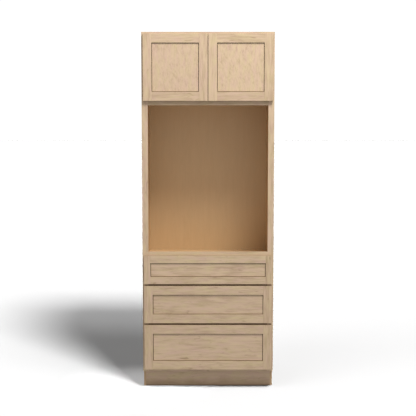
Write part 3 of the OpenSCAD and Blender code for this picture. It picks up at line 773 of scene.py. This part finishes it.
# The room: plain white behind, and for the light that falls on things, a few
# broad soft lobes, strongest from in front and below, where the floor glows,
# and weaker ones from the sides and behind
world = bpy.data.worlds.new("studio")
scene.world = world
world.use_nodes = True
wt = world.node_tree
wt.nodes.clear()
wo = wt.nodes.new("ShaderNodeOutputWorld")
soft = wt.nodes.new("ShaderNodeBackground")
white = wt.nodes.new("ShaderNodeBackground")
choose = wt.nodes.new("ShaderNodeMixShader")
path = wt.nodes.new("ShaderNodeLightPath")
way = wt.nodes.new("ShaderNodeTexCoord").outputs["Generated"]


def sky_math(op, a, b=0.0):
    n = wt.nodes.new("ShaderNodeMath")
    n.operation = op
    for s, v in zip(n.inputs, (a, b)):
        if isinstance(v, bpy.types.NodeSocket):
            wt.links.new(v, s)
        else:
            s.default_value = v
    return n.outputs[0]


def lobe(strength, towards, power):
    n = wt.nodes.new("ShaderNodeVectorMath")
    n.operation = "DOT_PRODUCT"
    wt.links.new(way, n.inputs[0])
    n.inputs[1].default_value = towards
    return sky_math("MULTIPLY", sky_math("POWER", sky_math("MAXIMUM", n.outputs["Value"], 0.0), power), strength)


glow = lobe(0.624, (0.0, -0.94, -0.34), 3.0)
for part in (lobe(0.381, (0.7071, -0.7071, 0.0), 3.0), lobe(0.376, (0.0, 0.0, 1.0), 1.0),
             lobe(0.223, (-0.7071, 0.0, 0.7071), 2.0), lobe(0.196, (0.0, -1.0, 0.0), 3.0),
             lobe(0.5, (-0.7071, 0.7071, 0.0), 2.0), lobe(0.35, (0.7071, 0.7071, 0.0), 2.0),
             lobe(0.3, (0.0, 1.0, 0.0), 1.0)):
    glow = sky_math("ADD", glow, part)
wt.links.new(glow, soft.inputs["Strength"])
soft.inputs["Color"].default_value = (1, 1, 1, 1)
white.inputs["Color"].default_value = (1, 1, 1, 1)
white.inputs["Strength"].default_value = 1.05
wt.links.new(path.outputs["Is Camera Ray"], choose.inputs[0])
wt.links.new(soft.outputs[0], choose.inputs[1])
wt.links.new(white.outputs[0], choose.inputs[2])
wt.links.new(choose.outputs[0], wo.inputs["Surface"])


def lamp(name, kind, energy, place, aim, size=None, angle=None, colour=(1, 1, 1)):
    li = bpy.data.lights.new(name, kind)
    li.energy, li.color = energy, colour
    if size is not None:
        li.shape, li.size = "DISK", size
    if angle is not None:
        li.angle = math.radians(angle)
    ob = bpy.data.objects.new(name, li)
    scene.collection.objects.link(ob)
    ob.location = place
    ob.rotation_euler = (Vector(aim) - Vector(place)).to_track_quat("-Z", "Y").to_euler()
    return ob


def sun_from(az, el, dist=8.0):
    a, e = math.radians(az), math.radians(el)
    return (dist * math.cos(e) * math.sin(a), -dist * math.cos(e) * math.cos(a), dist * math.sin(e))


# One big soft light, high up in front and to the right, lights the cabinet. Its
# cast on the floor comes from a pair of lamps of its own, as near as it is, whose
# light doesn't fade with distance, so that the floor is evenly white however far
# it goes, and from two broad suns on the left.
only_floor = bpy.data.collections.new("only_the_floor")
only_floor.objects.link(floor)
not_floor = bpy.data.collections.new("not_the_floor")
not_floor.objects.link(floor)
not_floor.collection_objects[0].light_linking.link_state = "EXCLUDE"

key = lamp("key_soft", "AREA", 220.5, (1.2, -2.8, 5.4), (0.0, -0.3, 1.0), size=1.8)
key.light_linking.receiver_collection = not_floor


def even(light, height):
    """Make a lamp that hangs over the floor light it as much far off as right below."""
    light.use_nodes = True
    nt = light.node_tree
    nt.nodes.clear()
    glow_node, out = nt.nodes.new("ShaderNodeEmission"), nt.nodes.new("ShaderNodeOutputLight")
    cube, share = nt.nodes.new("ShaderNodeMath"), nt.nodes.new("ShaderNodeMath")
    cube.operation, share.operation = "POWER", "DIVIDE"
    nt.links.new(nt.nodes.new("ShaderNodeLightPath").outputs["Ray Length"], cube.inputs[0])
    cube.inputs[1].default_value = 3.0
    nt.links.new(cube.outputs[0], share.inputs[0])
    share.inputs[1].default_value = height
    nt.links.new(share.outputs[0], glow_node.inputs["Strength"])
    nt.links.new(glow_node.outputs[0], out.inputs["Surface"])


for k, (place, radius, power) in enumerate((((1.32, -3.21, 5.78), 0.68, 177.3), ((1.86, -2.13, 7.04), 0.92, 39.8))):
    o = lamp(f"floor_lamp_{k + 1}", "POINT", power, place, (0, 0, 0))
    o.data.shadow_soft_size, o.data.use_soft_falloff = radius, True
    even(o.data, place[2])
    o.light_linking.receiver_collection = only_floor
for k, (az, el, wide, power) in enumerate(((-40, 55, 30, 1.84), (-60, 35, 30, 1.39))):
    o = lamp(f"floor_sun_{k + 1}", "SUN", power, sun_from(az, el), (0, 0, 0), angle=wide)
    o.light_linking.receiver_collection = only_floor
# Light that spills back on to the floor beside the foot of the left side
spill = lamp("floor_spill", "SPOT", 95.0, (-0.47, -0.2, 1.2), (-0.47, -0.2, 0.0))
spill.data.spot_size, spill.data.spot_blend = math.radians(50), 1.0
spill.data.shadow_soft_size, spill.data.use_shadow = 0.0, False
spill.light_linking.receiver_collection = only_floor

# ---------------------------------------------------------------- camera
cam = bpy.data.cameras.new("camera")
cam.sensor_width, cam.lens = 36.0, 36.0 * 960 / 416
cam.clip_start, cam.clip_end = 0.1, 500
co = bpy.data.objects.new("camera", cam)
scene.collection.objects.link(co)
co.location = (0.0, Y_FF - 6.089, 1.771)
co.rotation_euler = (math.radians(90 - 5.567), 0, 0)
scene.camera = co

scene.view_settings.view_transform = "Standard"
scene.view_settings.look = "None"
scene.view_settings.exposure = 0.0
scene.view_settings.gamma = 1.0
